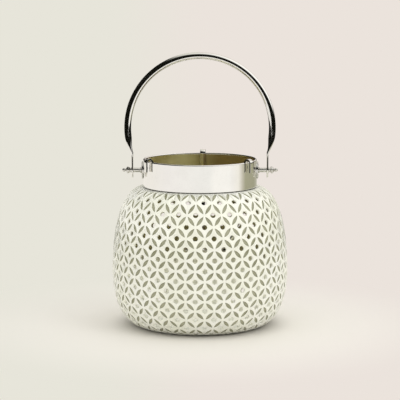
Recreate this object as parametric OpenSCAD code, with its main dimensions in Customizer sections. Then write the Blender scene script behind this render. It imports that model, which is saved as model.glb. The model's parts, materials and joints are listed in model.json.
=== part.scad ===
// Hanging candle lantern in millimetres: a pierced, enamelled pot with a polished
// neck band, a lift-out candle cup on three straps and a swinging rod bail.
// The origin is the centre of the base, on the surface that it stands on.
// Z is up, and the bail pivots about X.

/* [Pot] */
// Radius of the pot at its widest
belly_r = 77.4; // [72:0.2:84]
// Height of the widest place above the base
belly_z = 49.5; // [44:0.5:56]
// Height from the widest place up to the mouth
shoulder_h = 72.8; // [66:0.2:84]
// Radius at which the pot turns flat onto its foot
foot_r = 50; // [46:0.5:54]
// Width of the flat ring that it stands on
foot_w = 4.2; // [3:0.2:6]
// Thickness of the pot's sheet
pot_wall = 1.6; // [1.2:0.1:2]

/* [Piercing] */
// Dots in each ring round the pot
columns = 29; // [24:1:32]
// Rings of dots from foot to mouth
rows = 13; // [11:1:14]
// Diameter of a dot
dot_d = 4.4; // [3:0.1:5]
// Height of the lowest ring of dots above the base
low_row_z = 8.7; // [8:0.1:11]
// Depth of the highest ring of dots below the mouth
top_row_drop = 5.9; // [5.5:0.1:8]

/* [Neck] */
// Outer radius of the neck band
collar_r = 50; // [47:0.2:53]
// Height of the neck band above the pot
collar_h = 24.6; // [21:0.2:30]
// Thickness of the neck band
collar_wall = 1.2; // [0.8:0.1:1.3]
// Radius of the rolled bead along the rim
bead_r = 0.9; // [0.8:0.05:1.1]
// Depth of the bail pivots below the rim
pivot_drop = 10; // [9:0.2:12]

/* [Pivot hardware] */
// Diameter of a pivot pin
pin_d = 2.5; // [2:0.1:3]
// Diameter of a backing disc
escutcheon_d = 15.5; // [13:0.5:18]
// Thickness of a backing disc at its middle
escutcheon_t = 1.3; // [1:0.1:2]
// Diameter of the washer on a backing disc
boss_d = 5.2; // [4.6:0.2:7]
// Thickness of that washer
boss_t = 1.4; // [1:0.1:2]
// Diameter of the spacer between washer and bail
spacer_d = 4; // [3.8:0.1:4.6]
// Length of that spacer
spacer_l = 5.9; // [4.6:0.1:8]
// Diameter of the washer outside the bail
washer_d = 4.6; // [4:0.2:6]
// Thickness of that washer
washer_t = 0.9; // [0.6:0.1:1.4]
// Largest diameter of a knob
knob_d = 6.2; // [5.4:0.2:8]
// Length of a knob without its tip
knob_l = 4.2; // [3.8:0.1:6]
// Diameter of the ball at a knob's tip
tip_d = 3.2; // [2.4:0.1:4]
// Width across the flats of a nut inside the neck
nut_w = 4.6; // [4.2:0.2:6]
// Thickness of a nut
nut_t = 1.7; // [1.4:0.1:2.4]

/* [Bail] */
// Diameter of the bail's rod
rod_d = 6; // [5:0.2:7]
// Height of the hoop's centre above the pivots
hoop_rise = 37.1; // [35:0.2:42]
// How far the hoop's centreline bows out past the flat ends
hoop_bow = 4.1; // [3.4:0.1:5]
// Thickness of the flattened ends
plate_t = 1.2; // [1:0.1:1.8]
// Width of a flattened end where it leaves the rod
plate_w = 9.4; // [8:0.2:11]
// Radius of the eye round a pivot
eye_r = 6.8; // [5.6:0.1:8]

/* [Candle hanger] */
// Width of a hanger strap
strap_w = 4.8; // [4:0.2:6]
// Thickness of a hanger strap
strap_t = 1.5; // [1:0.1:1.8]
// Gap between the two legs of a rim hook
hook_gap = 4; // [3.4:0.1:4.6]
// Length of a hook's outer leg below the rim
hook_l = 9; // [7:0.5:12]
// Radius of the candle well
well_r = 20; // [19.5:0.1:22]
// Depth of the candle well
well_h = 16; // [12:0.5:20]
// Depth of the well's flange below the rim
cup_drop = 77; // [70:0.5:84]
// Thickness of the cup's sheet
cup_wall = 0.8; // [0.6:0.1:1.2]
// Width of the cup's flange
flange_w = 7; // [6:0.2:9]

/* [Hidden] */
$fn = 96;
small_fn = 32;

// Clearances
seat_gap = 0.05;
fit_gap = 0.05;
turn_gap = 0.08;
side_gap = 0.2;
lift_gap = 0.25;
overrun = 1;

// Bend of the pot's lower and upper curves, where 2 is an ellipse
low_bend_share = 2.3;
top_bend_share = 2.2;
// How much the rings of dots spread towards the mouth
row_growth_share = 0.1;
// A knob's neck and barrel as shares of its width and length
knob_neck_r_share = 0.3;
knob_neck_l_share = 0.12;
barrel_centre_share = 0.52;
barrel_half_share = 0.44;
tip_neck_l_share = 0.1;

mouth_r = collar_r;
mouth_z = belly_z + shoulder_h;
top_row_z = mouth_z - top_row_drop;
rim_z = mouth_z + seat_gap + collar_h;
pivot_z = rim_z - pivot_drop;

// Neck: the sleeve drops through the mouth and is swaged out under it
collar_in_r = collar_r - collar_wall;
bead_in_r = collar_r - 2 * bead_r;
sleeve_t = 0.85;
sleeve_in_r = bead_in_r + seat_gap;
sleeve_out_r = sleeve_in_r + sleeve_t;
mouth_bore_r = sleeve_out_r + fit_gap;
swage_w = 1.3;
swage_t = 0.9;
swage_z = mouth_z - pot_wall - side_gap - swage_t;

// Base plate: a dished disc that rests on the foot ring from inside
foot_bore_r = foot_r - foot_w;
base_t = 0.8;
base_lift = 0.4;
base_ledge_w = 3.2;

// Pivot stack, measured outwards from the axis of the pot
pin_hole_d = pin_d + 2 * fit_gap;
disc_face = collar_r + escutcheon_t;
boss_face = disc_face + boss_t;
spacer_face = boss_face + spacer_l;
plate_in = spacer_face + side_gap;
plate_x = plate_in + plate_t / 2;
washer_in = plate_in + plate_t + side_gap;
knob_in = washer_in + washer_t;
knob_end = knob_in + knob_l;
pin_grip = knob_l * 0.6;
nut_face = collar_in_r - 2 * seat_gap;
nut_in = nut_face - nut_t;
pin_in = nut_in - pin_d / 4;
pin_out = knob_in + pin_grip;

// Bail
hoop_r = plate_x + hoop_bow;
hoop_z = pivot_z + hoop_rise;
hoop_end_a = acos(plate_x / hoop_r);
taper_start_a = hoop_end_a * 0.3;
plate_top = hoop_rise - hoop_r * sin(hoop_end_a);

// Hanger: strap path in the plane of the rim's radius
leg_r = bead_in_r - 3 * seat_gap - strap_t / 2;
hook_r = (hook_gap + strap_t) / 2;
outer_leg_r = leg_r + 2 * hook_r;
rest_z = rim_z - bead_r + lift_gap;
cup_z = rim_z - cup_drop;
cup_r = well_r + cup_wall;
flange_r = cup_r + flange_w - cup_wall;
rivet_r = (cup_r + flange_r) / 2;
rivet_d = 2.4;
rivet_head_d = 4.4;
rivet_head_t = 0.9;
tab_z = cup_z - cup_wall - strap_t / 2;
tab_in_r = cup_r + side_gap;
leg_bend_z = swage_z - leg_r / 6;
strap_angles = [87, 207, 327];

// Steps along a round bend
bend_steps = 12;

// Radius of the pot's outside at height z
function corner_share(u, bend) = pow(max(0, 1 - pow(u, bend)), 1 / bend);
function pot_r(z) = z < belly_z
    ? foot_r + (belly_r - foot_r) * corner_share((belly_z - z) / belly_z, low_bend_share)
    : mouth_r + (belly_r - mouth_r) * corner_share((z - belly_z) / shoulder_h, top_bend_share);

// Angle of the outside's normal above the level at height z
probe = belly_z / 1000;
function pot_lean(z) = atan2(pot_r(z - probe) - pot_r(z + probe), 2 * probe);
function outside(z) = [pot_r(z), z];
function inside(z) = [pot_r(z) - pot_wall * cos(pot_lean(z)), z - pot_wall * sin(pot_lean(z))];

// Height of ring k of dots: the spacing grows a little towards the mouth
function row_z(k) = let (t = k / (rows - 1))
    low_row_z + (top_row_z - low_row_z) * t * (1 + row_growth_share * (t - 1));

// Each ring of dots lies on a conical band between edge k and edge k + 1, and is drilled square to it
end_margin = dot_d / 2;
function edge_z(k) = k == 0 ? low_row_z - end_margin : k == rows ? top_row_z + end_margin : row_z(k - 0.5);
function band_lean(k) = atan2(pot_r(edge_z(k)) - pot_r(edge_z(k + 1)), edge_z(k + 1) - edge_z(k));

// Heights of the wall's bands, which get closer together towards the flat foot and mouth
end_steps = 5;
band_heights = concat(
    [for (i = [1 : end_steps - 1]) edge_z(0) * pow(i / end_steps, 2)],
    [for (k = [0 : rows]) edge_z(k)],
    [for (i = [end_steps - 1 : -1 : 1]) mouth_z - (mouth_z - edge_z(rows)) * pow(i / end_steps, 2)]);

function turned(v, a) = [v[0] * cos(a) - v[1] * sin(a), v[0] * sin(a) + v[1] * cos(a)];
function unit(v) = v / norm(v);
function left_of(v) = [-v[1], v[0]];
function arc_points(centre, r, from, to, steps) =
    [for (i = [0 : steps]) centre + turned([r, 0], from + (to - from) * i / steps)];

// Centreline of a strip bent at b with radius r on its way from a to c
function bend_points(a, b, c, r) =
    let (u = unit(b - a), w = unit(c - b),
        turn = atan2(u[0] * w[1] - u[1] * w[0], u * w),
        start = b - u * r * tan(abs(turn) / 2),
        centre = start + left_of(u) * r * sign(turn))
    [for (i = [0 : bend_steps]) centre + turned(start - centre, turn * i / bend_steps)];
function path_normal(p, i) = left_of(unit(p[min(i + 1, len(p) - 1)] - p[max(i - 1, 0)]));
function strip_side(p, offset) = [for (i = [0 : len(p) - 1]) p[i] + path_normal(p, i) * offset];

// Outline of a strip of thickness t along the path p
module strip(p, t) {
    right_side = strip_side(p, -t / 2);
    polygon(concat(strip_side(p, t / 2), [for (i = [len(p) - 1 : -1 : 0]) right_side[i]]));
}

// Section of the pot's wall, with a flat foot ring and a flat ring round the mouth
module pot_section() {
    polygon(concat(
        [[foot_bore_r, 0], [foot_r, 0]],
        [for (z = band_heights) outside(z)],
        [[mouth_r, mouth_z], [mouth_bore_r, mouth_z],
            [mouth_bore_r, mouth_z - pot_wall], [mouth_r, mouth_z - pot_wall]],
        [for (i = [len(band_heights) - 1 : -1 : 0]) inside(band_heights[i])],
        [[foot_r, pot_wall], [foot_bore_r, pot_wall]]));
}

module dots() {
    for (k = [0 : rows - 1], i = [0 : columns - 1])
        rotate([0, 0, (i + 0.25 + (k % 2) / 2) * 360 / columns - 90])
            translate([pot_r(row_z(k)), 0, row_z(k)])
                rotate([0, 90 - band_lean(k), 0])
                    translate([0, 0, -2 * pot_wall]) cylinder(d = dot_d, h = 3 * pot_wall, $fn = small_fn);
}

module pot_shell() {
    color("ivory")
        difference() {
            rotate_extrude($fn = 2 * $fn) pot_section();
            dots();
        }
}

module base_plate() {
    dish_r = foot_bore_r - side_gap;
    ledge_z = pot_wall + seat_gap;
    color("ivory")
        rotate_extrude()
            polygon([[0, base_lift], [dish_r, base_lift], [dish_r, ledge_z],
                [dish_r + base_ledge_w, ledge_z], [dish_r + base_ledge_w, ledge_z + base_t],
                [dish_r - base_t, ledge_z + base_t], [dish_r - base_t, base_lift + base_t],
                [0, base_lift + base_t]]);
}

module collar() {
    band_z = mouth_z + seat_gap;
    bead_c = [collar_r - bead_r, rim_z - bead_r];
    color("silver")
        difference() {
            rotate_extrude()
                polygon(concat(
                    [[sleeve_in_r, swage_z], [sleeve_out_r + swage_w, swage_z],
                        [sleeve_out_r + swage_w, swage_z + swage_t], [sleeve_out_r, swage_z + swage_t],
                        [sleeve_out_r, band_z], [collar_r, band_z]],
                    arc_points(bead_c, bead_r, 0, 240, bend_steps),
                    [[collar_in_r, rim_z - 3 * bead_r], [collar_in_r, band_z + collar_wall],
                        [sleeve_in_r, band_z + collar_wall / 2]]));
            translate([0, 0, pivot_z])
                rotate([0, 90, 0])
                    cylinder(d = pin_hole_d, h = 2 * (collar_r + overrun), center = true, $fn = small_fn);
        }
}

// The pivot pieces lie along +X, and the left ones are turned round to -X
module at_pivot(side) {
    rotate([0, 0, side == "left" ? 180 : 0]) translate([0, 0, pivot_z]) rotate([0, 90, 0]) children();
}

module pivot_ring(from, to, d) {
    translate([0, 0, from])
        difference() {
            cylinder(d = d, h = to - from, $fn = small_fn);
            translate([0, 0, -overrun])
                cylinder(d = pin_hole_d, h = to - from + 2 * overrun, $fn = small_fn);
        }
}

module escutcheon(side) {
    edge_t = escutcheon_t / 3;
    color("silver")
        difference() {
            at_pivot(side)
                translate([0, 0, disc_face])
                    rotate_extrude()
                        polygon([[pin_hole_d / 2, 0], [escutcheon_d / 2 - edge_t, 0],
                            [escutcheon_d / 2, -edge_t], [escutcheon_d / 2, -2 * escutcheon_t],
                            [pin_hole_d / 2, -2 * escutcheon_t]]);
            cylinder(r = collar_r + seat_gap, h = rim_z + overrun, $fn = 8 * $fn);
        }
}

module boss_washer(side) color("silver") at_pivot(side) pivot_ring(disc_face, boss_face, boss_d);
module spacer(side) color("silver") at_pivot(side) pivot_ring(boss_face, spacer_face, spacer_d);
module outer_washer(side) color("silver") at_pivot(side) pivot_ring(washer_in, knob_in, washer_d);

module pivot_pin(side) {
    color("lightgray") at_pivot(side)
        translate([0, 0, pin_in]) cylinder(d = pin_d, h = pin_out - pin_in, $fn = small_fn);
}

module pin_nut(side) {
    color("silver") at_pivot(side)
        translate([0, 0, nut_in])
            difference() {
                cylinder(d = nut_w / cos(30), h = nut_t, $fn = 6);
                translate([0, 0, -overrun])
                    cylinder(d = pin_hole_d, h = nut_t + 2 * overrun, $fn = small_fn);
            }
}

// A turned knob: a rounded barrel on a neck, with a small ball at its tip
module knob(side) {
    neck_r = knob_d * knob_neck_r_share;
    neck_l = knob_l * knob_neck_l_share;
    barrel_c = knob_l * barrel_centre_share;
    barrel_half = knob_l * barrel_half_share;
    tip_neck_r = tip_d * knob_neck_r_share;
    tip_neck_l = tip_d * tip_neck_l_share;
    color("silver") at_pivot(side)
        translate([0, 0, knob_in])
            difference() {
                rotate_extrude($fn = small_fn)
                    polygon(concat(
                        [[0, 0], [neck_r, 0], [neck_r, neck_l]],
                        [for (a = [-60 : 15 : 60]) [knob_d / 2 * cos(a), barrel_c + barrel_half * sin(a)]],
                        [[tip_neck_r, knob_l], [tip_neck_r, knob_l + tip_neck_l]],
                        [for (a = [-50 : 20 : 90])
                            [tip_d / 2 * cos(a), knob_l + tip_d / 2 * (1 + sin(a))]]));
                translate([0, 0, -overrun])
                    cylinder(d = pin_hole_d, h = overrun + pin_grip + fit_gap, $fn = small_fn);
            }
}

// A strap hooks over the rim, runs down inside the neck and in under the cup's flange
module hanger_strap(angle) {
    leg_top = [leg_r, rest_z];
    leg_bend = [leg_r, leg_bend_z];
    tab_bend = [flange_r + strap_t, tab_z];
    tab_end = [tab_in_r, tab_z];
    path = concat(
        [[outer_leg_r, rim_z - hook_l]],
        arc_points([leg_r + hook_r, rest_z], hook_r, 0, 180, 2 * bend_steps),
        bend_points(leg_top, leg_bend, tab_bend, leg_r / 6),
        bend_points(leg_bend, tab_bend, tab_end, strap_t * 2),
        [tab_end]);
    color("silver")
        rotate([0, 0, angle])
            difference() {
                rotate([90, 0, 0]) linear_extrude(strap_w, center = true) strip(path, strap_t);
                translate([rivet_r, 0, tab_z - strap_t])
                    cylinder(d = rivet_d + 2 * fit_gap, h = 2 * strap_t, $fn = small_fn);
            }
}

module candle_cup() {
    color("silver")
        difference() {
            rotate_extrude()
                polygon([[0, cup_z - well_h - cup_wall], [cup_r, cup_z - well_h - cup_wall],
                    [cup_r, cup_z - cup_wall], [flange_r, cup_z - cup_wall], [flange_r, cup_z],
                    [well_r, cup_z], [well_r, cup_z - well_h], [0, cup_z - well_h]]);
            for (a = strap_angles) rotate([0, 0, a])
                translate([rivet_r, 0, cup_z - 2 * cup_wall])
                    cylinder(d = rivet_d + 2 * fit_gap, h = 3 * cup_wall, $fn = small_fn);
        }
}

module cup_rivets() {
    grip = cup_wall + strap_t;
    color("gray")
        for (a = strap_angles) rotate([0, 0, a]) translate([rivet_r, 0, cup_z])
            rotate_extrude($fn = small_fn)
                polygon(concat(
                    [[0, -grip - rivet_head_t], [rivet_head_d / 2, -grip - rivet_head_t],
                        [rivet_head_d / 2, -grip], [rivet_d / 2, -grip], [rivet_d / 2, 0]],
                    [for (t = [0 : 15 : 90]) [rivet_head_d / 2 * cos(t), rivet_head_t * sin(t)]]));
}

// Outline of the bail's arm where it is thick by wide: two half rounds joined by straight sides.
// It stands at p in the plane of the bail, square to a direction that leans by a from straight down.
arm_steps = 24;
function arm_ring(p, a, thick, wide) =
    [for (i = [0 : arm_steps - 1])
        let (t = 360 * (i + 0.5) / arm_steps, across = thick / 2 * cos(t))
        [p[0] + across * cos(a), thick / 2 * sin(t) + (wide - thick) / 2 * sign(sin(t)),
            p[1] - across * sin(a)]];

// A closed tube through rings of arm_steps points
module skin(rings) {
    n = arm_steps;
    last = (len(rings) - 1) * n;
    polyhedron(
        [for (ring = rings) each ring],
        concat(
            [for (k = [0 : len(rings) - 2], i = [0 : n - 1])
                each let (j = (i + 1) % n) [
                    [k * n + i, k * n + j, (k + 1) * n + j],
                    [k * n + i, (k + 1) * n + j, (k + 1) * n + i]]],
            [[for (i = [n - 1 : -1 : 0]) i], [for (i = [0 : n - 1]) last + i]]));
}

// The forged arm: round where it leaves the rod, flat where it runs into the plate with the eye
module bail_arm() {
    steps = 5;
    start_d = rod_d / cos(180 / arm_steps) + 2 * seat_gap;
    end_t = plate_t - 2 * seat_gap;
    end_w = plate_w - 2 * seat_gap;
    rings = [for (i = [0 : steps])
        let (u = i / steps, a = taper_start_a + (hoop_end_a - taper_start_a) * u)
        arm_ring([hoop_r * cos(a), hoop_z - hoop_r * sin(a)], i < steps ? a : a / 2,
            start_d + (end_t - start_d) * u, start_d + (end_w - start_d) * u)];
    end_z = hoop_z - hoop_r * sin(hoop_end_a) - plate_w / 2;
    skin(concat(rings, [arm_ring([plate_x, end_z], 0, end_t, end_w)]));
}

module bail_half() {
    bail_arm();
    translate([plate_in, 0, pivot_z])
        rotate([90, 0, 90])
            linear_extrude(plate_t)
                difference() {
                    union() {
                        circle(r = eye_r);
                        polygon([[-plate_w / 2, plate_top], [plate_w / 2, plate_top],
                            [eye_r * 0.92, eye_r * 0.3], [-eye_r * 0.92, eye_r * 0.3]]);
                    }
                    circle(d = pin_d + 2 * turn_gap, $fn = small_fn);
                }
}

module bail() {
    rod_end_a = taper_start_a + (hoop_end_a - taper_start_a) / 10;
    color("silver") {
        translate([0, 0, hoop_z])
            rotate([90, 0, 0])
                rotate([0, 0, -rod_end_a])
                    rotate_extrude(angle = 180 + 2 * rod_end_a)
                        translate([hoop_r, 0]) circle(d = rod_d, $fn = small_fn);
        bail_half();
        mirror([1, 0, 0]) bail_half();
    }
}

pot_shell();
base_plate();
collar();
escutcheon("left");  // left_escutcheon
boss_washer("left");  // left_boss_washer
spacer("left");  // left_spacer
pivot_pin("left");  // left_pivot_pin
outer_washer("left");  // left_outer_washer
knob("left");  // left_knob
pin_nut("left");  // left_pin_nut
escutcheon("right");  // right_escutcheon
boss_washer("right");  // right_boss_washer
spacer("right");  // right_spacer
pivot_pin("right");  // right_pivot_pin
outer_washer("right");  // right_outer_washer
knob("right");  // right_knob
pin_nut("right");  // right_pin_nut
hanger_strap(strap_angles[0]);  // hanger_strap_back
hanger_strap(strap_angles[1]);  // hanger_strap_left
hanger_strap(strap_angles[2]);  // hanger_strap_right
candle_cup();
cup_rivets();
bail();
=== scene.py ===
# %% [markdown]
# # A hanging lantern with a pierced enamel pot
#
# The lantern is a round steel pot, stamped all over with a lattice of petals and dots and enamelled cream.
# A polished neck band closes its mouth, a candle cup hangs from the rim on three hooked straps, and a
# rod bail swings on two pivots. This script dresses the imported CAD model: every visible piece is made
# again as a smooth mesh in the CAD frame, in metres, and gets a procedural material.

# %% Load the frame
import json
import math

import bmesh
import bpy
from mathutils import Matrix, Vector


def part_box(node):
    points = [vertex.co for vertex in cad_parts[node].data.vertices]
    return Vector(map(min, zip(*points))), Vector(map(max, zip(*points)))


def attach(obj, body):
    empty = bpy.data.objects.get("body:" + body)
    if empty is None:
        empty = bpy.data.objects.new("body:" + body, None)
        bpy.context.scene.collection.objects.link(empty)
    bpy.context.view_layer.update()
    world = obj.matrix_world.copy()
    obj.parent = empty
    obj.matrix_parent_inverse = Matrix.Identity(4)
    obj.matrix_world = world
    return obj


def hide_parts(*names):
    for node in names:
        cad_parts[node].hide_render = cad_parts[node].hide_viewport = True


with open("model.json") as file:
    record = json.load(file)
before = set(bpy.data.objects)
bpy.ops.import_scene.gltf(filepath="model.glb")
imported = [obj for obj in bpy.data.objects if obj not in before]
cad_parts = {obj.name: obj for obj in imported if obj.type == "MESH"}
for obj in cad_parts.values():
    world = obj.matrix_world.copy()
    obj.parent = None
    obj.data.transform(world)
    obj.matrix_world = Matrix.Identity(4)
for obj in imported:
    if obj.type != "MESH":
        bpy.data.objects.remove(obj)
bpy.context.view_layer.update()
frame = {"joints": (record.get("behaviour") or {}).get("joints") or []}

# %% [markdown]
# ## Camera
#
# The photograph was taken with a long lens from a little above the table. Its distance, height and
# focal length were found by fitting the outline of the pot, the neck and the bail at the same time.

# %% Camera
PICTURE_WIDTH = 400  # pixels
FOCAL_LENGTH = 1698  # pixels
CAMERA_DISTANCE = 1.5  # metres
CAMERA_ELEVATION = math.radians(8.05)
TARGET = Vector((0, 0, 0.1102))

camera_data = bpy.data.cameras.new("studio_camera")
camera_data.sensor_fit = "HORIZONTAL"
camera_data.sensor_width = 36
camera_data.lens = camera_data.sensor_width * FOCAL_LENGTH / PICTURE_WIDTH
camera = bpy.data.objects.new("studio_camera", camera_data)
backwards = Vector((0, -math.cos(CAMERA_ELEVATION), math.sin(CAMERA_ELEVATION)))
camera.location = TARGET + CAMERA_DISTANCE * backwards
camera.rotation_euler = (math.pi / 2 - CAMERA_ELEVATION, 0, 0)
bpy.context.scene.collection.objects.link(camera)
bpy.context.scene.camera = camera
print("lens", round(camera_data.lens, 1), "mm")

# %% [markdown]
# ## Sizes
#
# The heights come from the frame, so that each piece meets its CAD twin. The few other sizes are the
# driving dimensions of the lantern, in millimetres, and `MM` turns them into metres.

# %% Sizes
MM = 0.001


def top_of(node):
    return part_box(node)[1].z / MM


pivot_z = frame["joints"][0]["pos_m"][2] / MM
mouth_z = top_of("pot_shell")
rim_z = top_of("collar")
cup_z = top_of("candle_cup")
belly_r = 77.4
belly_z = 49.5
mouth_r = 50.0
foot_r = 50.0
pot_wall = 1.6
neck_wall = 1.2
print("mouth", mouth_z, "rim", rim_z, "pivot", pivot_z, "cup", cup_z, "belly radius", belly_r)

# %% [markdown]
# ## Shader groups
#
# Two effects recur: a soft mottle that changes a colour or a gloss from place to place, and fine lines
# left by the polishing wheel. Where the lines are given the same length in all directions, they turn
# into the small waves of a hand-dipped coat. Each effect is a node group with named inputs, built once
# and placed in the materials with its own values.

# %% Helpers for node trees
def add_node(tree, kind, **values):
    """A node of that kind, with its properties and its inputs' default values set by name."""
    node = tree.nodes.new(kind)
    for name, value in values.items():
        if name in node.bl_rna.properties:
            setattr(node, name, value)
        else:
            node.inputs[name.replace("_", " ")].default_value = value
    return node


def soft_step(tree, start, end):
    """A node whose Result rises smoothly from 0 to 1 while its Value goes from start to end."""
    return add_node(tree, "ShaderNodeMapRange", interpolation_type="SMOOTHSTEP",
                    From_Min=start, From_Max=end)


def new_group(name, inputs, outputs):
    """An empty shader group with named sockets, and its input and output nodes."""
    group = bpy.data.node_groups.new(name, "ShaderNodeTree")
    for label, socket, default in inputs:
        group.interface.new_socket(label, in_out="INPUT", socket_type=socket).default_value = default
    for label, socket in outputs:
        group.interface.new_socket(label, in_out="OUTPUT", socket_type=socket)
    return group, group.nodes.new("NodeGroupInput"), group.nodes.new("NodeGroupOutput")


# %% Mottle
def make_mottle():
    group, given, result = new_group(
        "mottle",
        [("Scale", "NodeSocketFloat", 60.0),
         ("Low", "NodeSocketFloat", 0.0),
         ("High", "NodeSocketFloat", 1.0)],
        [("Value", "NodeSocketFloat")])
    place = add_node(group, "ShaderNodeTexCoord")
    noise = add_node(group, "ShaderNodeTexNoise", Detail=4.0, Roughness=0.6)
    spread = soft_step(group, 0.3, 0.7)
    group.links.new(place.outputs["Object"], noise.inputs["Vector"])
    group.links.new(given.outputs["Scale"], noise.inputs["Scale"])
    group.links.new(noise.outputs["Fac"], spread.inputs["Value"])
    group.links.new(given.outputs["Low"], spread.inputs["To Min"])
    group.links.new(given.outputs["High"], spread.inputs["To Max"])
    group.links.new(spread.outputs["Result"], result.inputs["Value"])
    return group


MOTTLE = make_mottle()
print("group:", MOTTLE.name)


# %% Polishing lines
def make_polishing_lines():
    group, given, result = new_group(
        "polishing_lines",
        [("Length", "NodeSocketVector", (1.0, 1.0, 1.0)),
         ("Scale", "NodeSocketFloat", 900.0)],
        [("Height", "NodeSocketFloat")])
    place = add_node(group, "ShaderNodeTexCoord")
    stretch = add_node(group, "ShaderNodeVectorMath", operation="MULTIPLY")
    noise = add_node(group, "ShaderNodeTexNoise", Detail=3.0, Roughness=0.7)
    group.links.new(place.outputs["Object"], stretch.inputs[0])
    group.links.new(given.outputs["Length"], stretch.inputs[1])
    group.links.new(stretch.outputs["Vector"], noise.inputs["Vector"])
    group.links.new(given.outputs["Scale"], noise.inputs["Scale"])
    group.links.new(noise.outputs["Fac"], result.inputs["Height"])
    return group


POLISHING_LINES = make_polishing_lines()
EVEN_WAVES = (1.0, 1.0, 1.0)
print("group:", POLISHING_LINES.name)


# %% Placing a group in a tree
def group_node(tree, group, **values):
    node = tree.nodes.new("ShaderNodeGroup")
    node.node_tree = group
    for name, value in values.items():
        node.inputs[name].default_value = value
    return node


# %% [markdown]
# ## Materials
#
# The enamel is a glossy cream coat with slightly uneven gloss. The stamped petals show a thinner,
# olive-grey glaze. Inside, the pot is cream in the bottom and olive gold on the wall above it. The
# metal is polished nickel plate with faint lines from the polishing wheel.

# %% Starting a material
def start_material(name, **values):
    """A material with one Principled BSDF whose inputs are set by name."""
    material = bpy.data.materials.new(name)
    material.use_nodes = True
    tree = material.node_tree
    tree.nodes.clear()
    shader = add_node(tree, "ShaderNodeBsdfPrincipled", **values)
    output = tree.nodes.new("ShaderNodeOutputMaterial")
    tree.links.new(shader.outputs["BSDF"], output.inputs["Surface"])
    return material, tree, shader


def place_on_piece(tree):
    """A node that puts out the X, Y and Z of a place on the piece, in metres."""
    place = add_node(tree, "ShaderNodeTexCoord")
    parts = add_node(tree, "ShaderNodeSeparateXYZ")
    tree.links.new(place.outputs["Object"], parts.inputs["Vector"])
    return parts


# %% Colour, gloss and bump
def colour_mix(tree, first, second):
    """A mix of two colours. The colour sockets of this node are the seventh, the eighth and output 2."""
    mix = add_node(tree, "ShaderNodeMix", data_type="RGBA")
    mix.inputs[6].default_value = (*first, 1)
    mix.inputs[7].default_value = (*second, 1)
    return mix


def mottled_colour(tree, shader, first, second, scale):
    """Base colour that drifts between two close colours."""
    mottle = group_node(tree, MOTTLE, Scale=scale)
    mix = colour_mix(tree, first, second)
    tree.links.new(mottle.outputs["Value"], mix.inputs["Factor"])
    tree.links.new(mix.outputs[2], shader.inputs["Base Color"])


def mottled_gloss(tree, shader, low, high, scale):
    """Roughness that drifts between two values."""
    mottle = group_node(tree, MOTTLE, Scale=scale, Low=low, High=high)
    tree.links.new(mottle.outputs["Value"], shader.inputs["Roughness"])


def lined_bump(tree, shader, length, scale, strength, distance):
    """Bump from fine lines that run along the short side of length."""
    lines = group_node(tree, POLISHING_LINES, Length=length, Scale=scale)
    bump = add_node(tree, "ShaderNodeBump", Strength=strength, Distance=distance)
    tree.links.new(lines.outputs["Height"], bump.inputs["Height"])
    tree.links.new(bump.outputs["Normal"], shader.inputs["Normal"])


# %% Enamel and glaze
def make_enamel():
    material, tree, shader = start_material("cream_enamel", Coat_Weight=0.35, Coat_Roughness=0.08)
    mottled_colour(tree, shader, (0.86, 0.865, 0.75), (0.90, 0.90, 0.83), 28.0)
    mottled_gloss(tree, shader, 0.2, 0.36, 90.0)
    lined_bump(tree, shader, EVEN_WAVES, 260.0, 0.2, 0.0003)
    return material


def make_glaze():
    material, tree, shader = start_material("olive_glaze", Coat_Weight=0.5, Coat_Roughness=0.1)
    mottled_colour(tree, shader, (0.28, 0.28, 0.18), (0.38, 0.38, 0.265), 120.0)
    mottled_gloss(tree, shader, 0.2, 0.4, 200.0)
    lined_bump(tree, shader, EVEN_WAVES, 700.0, 0.3, 0.0003)
    return material


ENAMEL = make_enamel()
GLAZE = make_glaze()
print("materials:", ENAMEL.name, GLAZE.name)

# %% Lining of the pot
LOWER_CREAM = (0.92, 0.92, 0.8)
UPPER_GOLD = (0.24, 0.21, 0.09)
CREAM_GOLD_EDGE = (0.034, 0.06)  # metres above the table


def make_lining():
    """Cream in the lower part of the pot, and olive gold above it."""
    material, tree, shader = start_material("pot_lining", Metallic=0.2)
    place = place_on_piece(tree)
    rise = soft_step(tree, *CREAM_GOLD_EDGE)
    mix = colour_mix(tree, LOWER_CREAM, UPPER_GOLD)
    tree.links.new(place.outputs["Z"], rise.inputs["Value"])
    tree.links.new(rise.outputs["Result"], mix.inputs["Factor"])
    tree.links.new(mix.outputs[2], shader.inputs["Base Color"])
    mottled_gloss(tree, shader, 0.35, 0.55, 120.0)
    lined_bump(tree, shader, EVEN_WAVES, 500.0, 0.4, 0.0003)
    return material


LINING = make_lining()
print("material:", LINING.name)

# %% Gold inside the neck, with painted reflection and painted shade
# Painted shade: the gold turns browner and darker towards the right.
UNSHADED = (1, 1, 1)
PAINTED_RIGHT_SHADE = (0.3, 0.22, 0.07)
RIGHT_SHADE_EDGE = (-0.015, 0.02)  # metres to the right of the axis


def make_painted_mirror_gold():
    """Gold that paints in the pot's gold mirrored inside the neck, with painted shade that darkens it
    towards the right.
    """
    material, tree, shader = start_material("painted_mirror_gold", Metallic=0.6)
    mottle = group_node(tree, MOTTLE, Scale=30.0)
    gold = colour_mix(tree, (0.5, 0.42, 0.15), (0.78, 0.71, 0.34))
    place = place_on_piece(tree)
    side = soft_step(tree, *RIGHT_SHADE_EDGE)
    right_shade = colour_mix(tree, UNSHADED, PAINTED_RIGHT_SHADE)
    tree.links.new(mottle.outputs["Value"], gold.inputs["Factor"])
    tree.links.new(place.outputs["X"], side.inputs["Value"])
    tree.links.new(side.outputs["Result"], right_shade.inputs["Factor"])
    tree.links.new(gold.outputs[2], right_shade.inputs[6])
    tree.links.new(right_shade.outputs[2], shader.inputs["Base Color"])
    mottled_gloss(tree, shader, 0.32, 0.45, 60.0)
    lined_bump(tree, shader, (0.3, 0.3, 2.0), 300.0, 0.15, 0.0001)
    return material


GOLD = make_painted_mirror_gold()
print("material:", GOLD.name)

# %% Metals
SECOND_TONE = 0.96


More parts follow.
